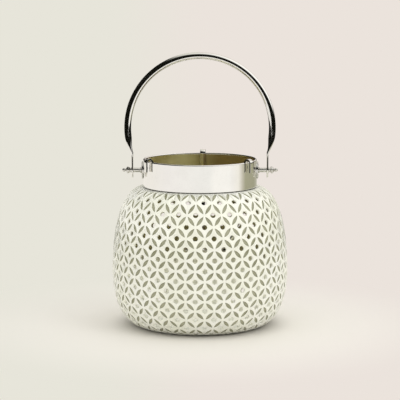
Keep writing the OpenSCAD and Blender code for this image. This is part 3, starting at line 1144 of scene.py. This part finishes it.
def on_hoop(angle):
    """Place on the centreline of the hoop. The angle runs down from the side, so the top is -90 degrees."""
    return hoop_r * math.cos(angle), hoop_z - hoop_r * math.sin(angle)


def hoop_rings(steps):
    """The round rod, from the top of the hoop to the start of the taper."""
    angles = [-math.pi / 2 + (taper_start + math.pi / 2) * i / steps for i in range(steps)]
    return [arm_ring(*on_hoop(a), a, ROD_D, ROD_D) for a in angles]


def taper_rings(steps):
    """The rod gets thinner and wider on its way down. The last ring bends halfway to the plate."""
    rings = []
    for i in range(steps + 1):
        u = i / steps
        a = taper_start + (hoop_end - taper_start) * u
        flat = u * u * (3 - 2 * u)
        lean = a if i < steps else a / 2
        rings.append(arm_ring(*on_hoop(a), lean, ROD_D + (PLATE_T_BAIL - ROD_D) * flat,
                              ROD_D + (PLATE_W_BAIL - ROD_D) * flat))
    return rings


# %% Plate and eye
RING_CROWDING = 1.6
EYE_FLARE = 1.5
BLUNT_END = 0.6


def plate_rings(steps):
    """The upright plate, which widens into the round eye and ends blunt under it."""
    rings = []
    foot = pivot_z - EYE_R
    for i in range(1, steps + 1):
        z = foot + (plate_top - foot) * (1 - i / steps) ** RING_CROWDING
        rise = z - pivot_z
        flare = max(0, 1 - rise / (plate_top - pivot_z)) ** EYE_FLARE
        straight = PLATE_W_BAIL + (2 * EYE_R - PLATE_W_BAIL) * flare
        eye = 2 * math.sqrt(max(BLUNT_END ** 2, EYE_R ** 2 - rise ** 2))
        wide = min(straight, eye) if rise < 0 else max(PLATE_W_BAIL, min(straight, 2 * EYE_R))
        rings.append(arm_ring(plate_x, z, 0, PLATE_T_BAIL, max(wide, PLATE_T_BAIL)))
    return rings


# %% Drilling the eyes
def drilled(piece, x, radius):
    """Cuts the pivot's hole through the eye of the bail at x."""
    place = Matrix.Translation((x, 0, pivot_z)) @ Matrix.Rotation(math.pi / 2, 4, "Y")
    points, faces = revolve([(0, -2), (radius, -2), (radius, 2), (0, 2)], 40, place)
    cutter = mesh_object("eye_drill", points, faces, [BAIL_NICKEL])
    cut = piece.modifiers.new("eye", "BOOLEAN")
    cut.operation = "DIFFERENCE"
    cut.solver = "EXACT"
    cut.object = cutter
    bpy.context.view_layer.update()
    made = bpy.data.meshes.new_from_object(piece.evaluated_get(bpy.context.evaluated_depsgraph_get()))
    piece.modifiers.clear()
    piece.data = made
    bpy.data.objects.remove(cutter)


# %% Bail
EYE_HOLE_R = PIN_R + 0.08
right_rings = hoop_rings(48) + taper_rings(14) + plate_rings(26)
left_rings = [[(-x, y, z) for x, y, z in ring] for ring in reversed(right_rings[1:])]
bail_points, bail_faces = skin_rings(left_rings + right_rings)
bail = mesh_object("bail_rod", bail_points, bail_faces, [BAIL_NICKEL], sharp=50)
drilled(bail, plate_x, EYE_HOLE_R)
drilled(bail, -plate_x, EYE_HOLE_R)
bail.data.name = "bail_rod"
bail.data.shade_smooth()
bail.data.set_sharp_from_angle(angle=math.radians(50))
finish_piece(bail, "bail", "polished_steel", "bail")

# %% [markdown]
# ## The candle hanger
#
# Three straps of bright steel hook over the bead of the rim, run down inside the neck and in under
# the flange of the candle cup, where a rivet holds each one. Their narrow sides are painted dark as
# shade, which draws the two dark lines beside each hook.

# %% Sizes of the hanger
STRAP_W = 4.8
STRAP_T = 1.5
STRAP_EDGE = 0.35
HOOK_R = 2.75
HOOK_L = 9.0
CUP_WALL = 0.8
STRAPS = 3
FIRST_STRAP = math.radians(87)
cup_r = 20.8
flange_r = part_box("candle_cup")[1].x / MM
tab_r = cup_r + 0.2
tab_z = cup_z - CUP_WALL - STRAP_T / 2
leg_r = bead_in_r - 0.15 - STRAP_T / 2
leg_bend_r = leg_r / 6
leg_bend_z = swage_z - leg_bend_r
rest_z = bead_z + 0.25
print("strap leg at radius", round(leg_r, 2), "and tab at height", round(tab_z, 2), "mm")


# %% Path of a strap
def bend(before, corner, after, radius, steps=10):
    """Points of a round bend at a corner of a path in (radius, height)."""
    into = (Vector(corner) - Vector(before)).normalized()
    out = (Vector(after) - Vector(corner)).normalized()
    turn = into.angle_signed(out)
    start = Vector(corner) - into * radius * math.tan(abs(turn) / 2)
    centre = start + Vector((into.y, -into.x)) * (radius if turn > 0 else -radius)
    arm = start - centre
    result = []
    for i in range(steps + 1):
        a = -turn * i / steps
        result.append((centre.x + arm.x * math.cos(a) - arm.y * math.sin(a),
                       centre.y + arm.x * math.sin(a) + arm.y * math.cos(a)))
    return result


strap_path = [(leg_r + 2 * HOOK_R, rim_z - HOOK_L)]
strap_path += arc((leg_r + HOOK_R, rest_z), HOOK_R, 0, 180, 20)
strap_path += bend((leg_r, rest_z), (leg_r, leg_bend_z), (flange_r + STRAP_T, tab_z), leg_bend_r)
strap_path += bend((leg_r, leg_bend_z), (flange_r + STRAP_T, tab_z), (tab_r, tab_z), 2 * STRAP_T)
strap_path += [(tab_r, tab_z)]
print("strap path of", len(strap_path), "points")

# %% Straps
NARROW_SIDES = (1, 2, 3, 7, 8, 9)
RING_POINTS = 12
BRIGHT, SHADED_SIDE = range(2)


def strap_rings():
    """Rings of a flat strip with rounded edges along the path, RING_POINTS to a ring."""
    section = rounded([(-STRAP_T / 2, -STRAP_W / 2), (STRAP_T / 2, -STRAP_W / 2),
                       (STRAP_T / 2, STRAP_W / 2), (-STRAP_T / 2, STRAP_W / 2)], STRAP_EDGE, steps=2)
    rings = []
    last = len(strap_path) - 1
    for i, (r, z) in enumerate(strap_path):
        ahead = Vector(strap_path[min(i + 1, last)]) - Vector(strap_path[max(i - 1, 0)])
        across = Vector((-ahead.y, ahead.x)).normalized()
        rings.append([(r + a * across.x, y, z + a * across.y) for a, y in section])
    return rings


strap_points, strap_faces = skin_rings(strap_rings())
long_faces = len(strap_faces) - 2
# The narrow sides of each strap get painted shade.
strap_finish = [SHADED_SIDE if k % RING_POINTS in NARROW_SIDES else BRIGHT for k in range(long_faces)] + [SHADED_SIDE, SHADED_SIDE]
straps = copies_round_axis("hanger_straps", strap_points, strap_faces, strap_finish,
                           (STRAP_STEEL, SHADED_SIDE_STEEL, STRAP_STEEL), STRAPS, start=FIRST_STRAP)
finish_piece(straps, "hanger", "strap_steel", "hanger_strap_back", "hanger_strap_left", "hanger_strap_right")

# %% Candle cup
WELL_R = 20.0
WELL_H = 16.0
cup_section = [(0, cup_z - WELL_H - CUP_WALL), (cup_r, cup_z - WELL_H - CUP_WALL), (cup_r, cup_z - CUP_WALL),
               (flange_r, cup_z - CUP_WALL), (flange_r, cup_z), (WELL_R, cup_z), (WELL_R, cup_z - WELL_H),
               (0, cup_z - WELL_H)]
turned_piece("candle_well", cup_section, STRAP_STEEL, "hanger", "strap_steel", "candle_cup",
             steps=96, edge=0.6)

# %% Rivets
HEAD_R = 2.2
HEAD_H = 0.9
SHANK_R = 1.2
rivet_r = (cup_r + flange_r) / 2
grip = CUP_WALL + STRAP_T
rivet_section = [(0, -grip - HEAD_H), (HEAD_R - 0.2, -grip - HEAD_H), (HEAD_R, -grip - HEAD_H + 0.2),
                 (HEAD_R, -grip), (SHANK_R, -grip), (SHANK_R, 0)]
rivet_section += [(HEAD_R * math.cos(math.radians(a)), HEAD_H * math.sin(math.radians(a)))
                  for a in range(0, 90, 15)]
rivet_section += [(0, HEAD_H)]
rivet_points, rivet_faces = revolve(rivet_section, 20, Matrix.Translation((rivet_r, 0, cup_z)))
rivets = copies_round_axis("strap_rivets", rivet_points, rivet_faces, [0] * len(rivet_faces),
                           (PIN_STEEL, PIN_STEEL, PIN_STEEL), STRAPS, start=FIRST_STRAP)
finish_piece(rivets, "hanger", "pin_steel", "cup_rivets")

# %% [markdown]
# ## Studio
#
# The lantern stands on a pale table that runs into the backdrop without an edge. Round the pot the
# table takes light and shadow as it is, with painted shade added close to the foot. Further out it
# turns into the plain colour of the backdrop, so that no horizon shows. The backdrop is a little
# greener on the left and pinker on the right. Both the table and the world read the line of sight from
# the camera's place, so their colours meet.

# %% Backdrop
BACKDROP_LEFT = (0.799, 0.783, 0.701)
BACKDROP_RIGHT = (0.831, 0.768, 0.716)


def make_backdrop_tint():
    """0 on the left of the backdrop and 1 on its right, from a line of sight."""
    group, given, result = new_group("backdrop_tint", [("Sight", "NodeSocketVector", (0.0, 1.0, 0.0))],
                                     [("Value", "NodeSocketFloat")])
    parts = add_node(group, "ShaderNodeSeparateXYZ")
    slope = add_node(group, "ShaderNodeMath", operation="DIVIDE")
    fade = soft_step(group, -0.06, 0.01)
    group.links.new(given.outputs["Sight"], parts.inputs["Vector"])
    group.links.new(parts.outputs["X"], slope.inputs[0])
    group.links.new(parts.outputs["Y"], slope.inputs[1])
    group.links.new(slope.outputs["Value"], fade.inputs["Value"])
    group.links.new(fade.outputs["Result"], result.inputs["Value"])
    return group


BACKDROP_TINT = make_backdrop_tint()
print("group:", BACKDROP_TINT.name)


# %% What the camera sees of the backdrop
def straight_rays(tree):
    """1 for rays that come from the camera, straight or through glass."""
    rays = add_node(tree, "ShaderNodeLightPath")
    either = add_node(tree, "ShaderNodeMath", operation="MAXIMUM")
    tree.links.new(rays.outputs["Is Camera Ray"], either.inputs[0])
    tree.links.new(rays.outputs["Is Transmission Ray"], either.inputs[1])
    return either.outputs["Value"]


def backdrop_colour(tree, sight):
    """The backdrop's colour along a line of sight."""
    tint = group_node(tree, BACKDROP_TINT)
    mix = colour_mix(tree, BACKDROP_LEFT, BACKDROP_RIGHT)
    tree.links.new(sight, tint.inputs["Sight"])
    tree.links.new(tint.outputs["Value"], mix.inputs["Factor"])
    return mix.outputs[2]


def seen_over(tree, share, under, over):
    """A mix of two shaders that shows the second one by its share."""
    mix = add_node(tree, "ShaderNodeMixShader")
    tree.links.new(share, mix.inputs["Fac"])
    tree.links.new(under, mix.inputs[1])
    tree.links.new(over, mix.inputs[2])
    return mix.outputs["Shader"]


# %% [markdown]
# ## The room that the metal mirrors
#
# Polished metal shows the room that it stands in, and the photograph tells what that room was. The
# round rod of the bail mirrors everything, and it shows a dark room in front and at the left, and a
# bright window up at the right. So glossy rays see more than the camera does: behind the lantern the
# same backdrop, and in front a room that is dark up to a skyline, high at the left and low at the
# right, and bright above it. One colour ramp round the object keeps the skyline, another the bright.

# %% A ramp round the object
def ramp_over_angle(tree, angle, stops):
    """A colour ramp over an angle of -180 to 180 degrees, given in radians."""
    turn = add_node(tree, "ShaderNodeMapRange", From_Min=-math.pi, From_Max=math.pi)
    ramp = add_node(tree, "ShaderNodeValToRGB")
    tree.links.new(angle, turn.inputs["Value"])
    tree.links.new(turn.outputs["Result"], ramp.inputs["Fac"])
    elements = ramp.color_ramp.elements
    elements.remove(elements[1])
    for number, (degrees, colour) in enumerate(stops):
        element = elements[0] if number == 0 else elements.new((degrees + 180) / 360)
        element.position = (degrees + 180) / 360
        element.color = (*colour, 1)
    return ramp.outputs["Color"]


def angle_to_the_right(tree, parts):
    """Angle in radians round the object, from the camera's side to its right."""
    towards = add_node(tree, "ShaderNodeMath", operation="MULTIPLY")
    towards.inputs[1].default_value = -1.0
    angle = add_node(tree, "ShaderNodeMath", operation="ARCTAN2")
    tree.links.new(parts.outputs["Y"], towards.inputs[0])
    tree.links.new(parts.outputs["X"], angle.inputs[0])
    tree.links.new(towards.outputs["Value"], angle.inputs[1])
    return angle.outputs["Value"]


# %% Skyline
SKYLINE = [(-180, 10), (-160, 35), (-140, 62), (-60, 66), (-20, 60), (10, 48), (35, 32), (60, 18), (90, 9),
           (120, 5), (180, 3)]
SKYLINE_BLUR = (-0.06, 0.1)
ROOM_DARK = (0.006, 0.006, 0.004)
ROOM_BRIGHT = (0.86, 0.85, 0.80)
WINDOW = (1.15, 1.14, 1.1)


def mirrored_room(tree, sight):
    """Colour of the room along a direction."""
    parts = add_node(tree, "ShaderNodeSeparateXYZ")
    tree.links.new(sight, parts.inputs["Vector"])
    angle = angle_to_the_right(tree, parts)
    skyline = ramp_over_angle(tree, angle, [(a, (math.sin(math.radians(h)),) * 3) for a, h in SKYLINE])
    above = add_node(tree, "ShaderNodeMath", operation="SUBTRACT")
    edge = soft_step(tree, *SKYLINE_BLUR)
    tree.links.new(parts.outputs["Z"], above.inputs[0])
    tree.links.new(skyline, above.inputs[1])
    tree.links.new(above.outputs["Value"], edge.inputs["Value"])
    bright = ramp_over_angle(tree, angle, [(-180, BACKDROP_LEFT), (-110, BACKDROP_LEFT), (-60, ROOM_BRIGHT),
                                           (30, ROOM_BRIGHT), (55, WINDOW), (110, WINDOW),
                                           (140, BACKDROP_RIGHT), (180, BACKDROP_RIGHT)])
    mix = colour_mix(tree, ROOM_DARK, ROOM_BRIGHT)
    tree.links.new(bright, mix.inputs[7])
    tree.links.new(edge.outputs["Result"], mix.inputs["Factor"])
    return mix.outputs[2]


# %% World
ROOM_LIGHT = 0.95
LIGHT_COLOUR = (1, 0.995, 0.97, 1)


def make_world():
    """The camera sees the backdrop, glossy rays see the room, and all other light is even."""
    world = bpy.data.worlds.new("studio")
    world.use_nodes = True
    tree = world.node_tree
    tree.nodes.clear()
    place = add_node(tree, "ShaderNodeTexCoord")
    rays = add_node(tree, "ShaderNodeLightPath")
    light = add_node(tree, "ShaderNodeBackground", Color=LIGHT_COLOUR, Strength=ROOM_LIGHT)
    plain = add_node(tree, "ShaderNodeBackground", Strength=1.0)
    room = add_node(tree, "ShaderNodeBackground", Strength=1.0)
    output = add_node(tree, "ShaderNodeOutputWorld")
    tree.links.new(backdrop_colour(tree, place.outputs["Generated"]), plain.inputs["Color"])
    tree.links.new(mirrored_room(tree, place.outputs["Generated"]), room.inputs["Color"])
    lit = seen_over(tree, rays.outputs["Is Glossy Ray"], light.outputs["Background"],
                    room.outputs["Background"])
    seen = seen_over(tree, straight_rays(tree), lit, plain.outputs["Background"])
    tree.links.new(seen, output.inputs["Surface"])
    bpy.context.scene.world = world


bpy.context.scene.view_settings.view_transform = "Standard"
make_world()
print("world:", bpy.context.scene.world.name, "with even light of strength", ROOM_LIGHT)

# %% [markdown]
# ## Table
#
# The table has three looks, and each is a share of one material. Near the pot it is a real pale
# surface, with painted shade that darkens it close to the foot. Further out, straight rays see the
# backdrop's colour on it. Beyond an ellipse round the pot, mirrors see it dark, as the room in front
# is, which keeps the lower arms of the bail from showing a bright floor. All distances are in metres.

# %% Looks of the table
TABLE_BASE = (0.83, 0.80, 0.745)
FOOT_SHADE = 0.62
FOOT_SHADE_EDGE = (0.045, 0.085)
BACKDROP_EDGE = (0.08, 0.24)
DUSK_SQUEEZE = (0.75, 1.0, 0.0)
DUSK_EDGE = (0.38, 0.5)


def length_of(tree, vector):
    """Length of a vector, such as the distance from the middle of the table."""
    length = add_node(tree, "ShaderNodeVectorMath", operation="LENGTH")
    tree.links.new(vector, length.inputs[0])
    return length.outputs["Value"]


def share_of_rays(tree, distance, edge, rays):
    """1 beyond the edge for rays of one kind, and 0 for other rays and near the pot."""
    rise = soft_step(tree, *edge)
    share = add_node(tree, "ShaderNodeMath", operation="MULTIPLY")
    tree.links.new(distance, rise.inputs["Value"])
    tree.links.new(rise.outputs["Result"], share.inputs[0])
    tree.links.new(rays, share.inputs[1])
    return share.outputs["Value"]


def shade_at_foot(tree, shader, distance):
    """The table's colour, with painted shade that darkens it close to the foot of the pot."""
    shade = soft_step(tree, *FOOT_SHADE_EDGE)
    base = colour_mix(tree, tuple(FOOT_SHADE * c for c in TABLE_BASE), TABLE_BASE)
    tree.links.new(distance, shade.inputs["Value"])
    tree.links.new(shade.outputs["Result"], base.inputs["Factor"])
    tree.links.new(base.outputs[2], shader.inputs["Base Color"])


# %% Material of the table
def make_table_material():
    """Real near the pot, the backdrop's colour further out, and dark to mirrors beyond that."""
    material, tree, shader = start_material("pale_table", Roughness=0.6, Specular_IOR_Level=0.2)
    output = next(n for n in tree.nodes if n.type == "OUTPUT_MATERIAL")
    place = add_node(tree, "ShaderNodeTexCoord").outputs["Object"]
    distance = length_of(tree, place)
    squeezed = add_node(tree, "ShaderNodeVectorMath", operation="MULTIPLY")
    squeezed.inputs[1].default_value = DUSK_SQUEEZE
    sight = add_node(tree, "ShaderNodeVectorMath", operation="SUBTRACT")
    sight.inputs[1].default_value = camera.location
    plain = add_node(tree, "ShaderNodeEmission", Strength=1.0)
    dark = add_node(tree, "ShaderNodeEmission", Color=(*ROOM_DARK, 1), Strength=1.0)
    mirrors = add_node(tree, "ShaderNodeLightPath").outputs["Is Glossy Ray"]
    shade_at_foot(tree, shader, distance)
    tree.links.new(place, squeezed.inputs[0])
    tree.links.new(place, sight.inputs[0])
    tree.links.new(backdrop_colour(tree, sight.outputs["Vector"]), plain.inputs["Color"])
    shown = share_of_rays(tree, distance, BACKDROP_EDGE, straight_rays(tree))
    mirrored = share_of_rays(tree, length_of(tree, squeezed.outputs["Vector"]), DUSK_EDGE, mirrors)
    seen = seen_over(tree, shown, shader.outputs["BSDF"], plain.outputs["Emission"])
    seen = seen_over(tree, mirrored, seen, dark.outputs["Emission"])
    tree.links.new(seen, output.inputs["Surface"])
    return material


# %% Table
TABLE_HALF = 6000
corners = [(x * TABLE_HALF, y * TABLE_HALF, 0) for x, y in ((-1, -1), (1, -1), (1, 1), (-1, 1))]
table = mesh_object("table", corners, [(0, 1, 2, 3)], [make_table_material()])
print("table", 2 * TABLE_HALF * MM, "m wide")

# %% [markdown]
# ## Reflection card for the neck
#
# Seen from a little above, the upright neck mirrors only what is low down: in the photograph a white
# table with an olive edge at the right. A curved card stands for it, close to the pot, where it fills
# the neck's view and leaves the bail's free. It is higher in front, so that the rim mirrors it too.
# Only reflections see it.

# %% Colours of the neck card
NECK_STRIPES = [
    (-180, (0.57, 0.55, 0.47)), (-160, (0.60, 0.58, 0.50)), (-146, (0.90, 0.865, 0.80)),
    (-95, (0.92, 0.89, 0.83)), (-57, (0.935, 0.905, 0.87)), (15, (0.93, 0.92, 0.88)),
    (24, (1.0, 0.98, 0.93)), (50, (1.01, 0.995, 0.945)), (56, (0.955, 0.935, 0.89)),
    (70, (0.93, 0.90, 0.82)), (80, (0.60, 0.57, 0.47)), (88, (0.40, 0.39, 0.27)),
    (120, (0.38, 0.37, 0.26)), (150, (0.55, 0.53, 0.44)), (180, (0.57, 0.55, 0.47))]


def make_card_material():
    """A plain glow whose colour changes round the neck."""
    material = bpy.data.materials.new("neck_card")
    material.use_nodes = True
    tree = material.node_tree
    tree.nodes.clear()
    glow = add_node(tree, "ShaderNodeEmission", Strength=1.0)
    output = tree.nodes.new("ShaderNodeOutputMaterial")
    angle = angle_to_the_right(tree, place_on_piece(tree))
    tree.links.new(ramp_over_angle(tree, angle, NECK_STRIPES), glow.inputs["Color"])
    tree.links.new(glow.outputs["Emission"], output.inputs["Surface"])
    return material


# %% Neck card
CARD_R = 140
CARD_LOW = 92
CARD_SIDE = 139
CARD_FRONT = 158
CARD_STEPS = 96
card_points, card_faces = [], []
for i in range(CARD_STEPS + 1):
    a = 2 * math.pi * i / CARD_STEPS
    high = CARD_SIDE + (CARD_FRONT - CARD_SIDE) * max(0, math.cos(a))
    card_points += [(CARD_R * math.sin(a), -CARD_R * math.cos(a), z) for z in (CARD_LOW, high)]
    if i < CARD_STEPS:
        card_faces.append((2 * i, 2 * i + 1, 2 * i + 3, 2 * i + 2))
card = mesh_object("neck_card", card_points, card_faces, [make_card_material()])
card.visible_camera = False
card.visible_diffuse = False
card.visible_shadow = False
card.visible_transmission = False
card.visible_volume_scatter = False
print("card of", len(card_faces), "faces from", CARD_LOW, "to", CARD_FRONT, "mm above the table")


# %% [markdown]
# ## Lamps
#
# A key lamp at the right, a weak fill at the left and one above shape the pot. In the photograph the
# lower dots show a pale inside, so a very weak lamp stands for the light that the pale bottom throws
# back. None of them shows itself or its reflection.

# %% Lamps
def soft_lamp(name, position, size, watts, aim=(0, 0, 0.1)):
    """A rectangular lamp that lights but isn't seen. Places and sizes are in metres."""
    data = bpy.data.lights.new(name, "AREA")
    data.shape = "RECTANGLE"
    data.size, data.size_y = size
    data.energy = watts
    lamp = bpy.data.objects.new(name, data)
    lamp.location = position
    lamp.rotation_euler = (Vector(aim) - Vector(position)).to_track_quat("-Z", "Y").to_euler()
    lamp.visible_camera = False
    lamp.visible_glossy = False
    bpy.context.scene.collection.objects.link(lamp)
    print(name, watts, "W")


soft_lamp("key_lamp", (0.9, -0.75, 1.1), (0.7, 0.7), 4.0)
soft_lamp("fill_lamp", (-1.0, -0.9, 0.7), (0.9, 0.9), 1.6)
soft_lamp("top_lamp", (0.2, 0.2, 1.5), (1.0, 0.7), 1.8)
soft_lamp("inside_lamp", (0, 0, 0.05), (0.09, 0.09), 0.03, aim=(0, 0.0001, 0))
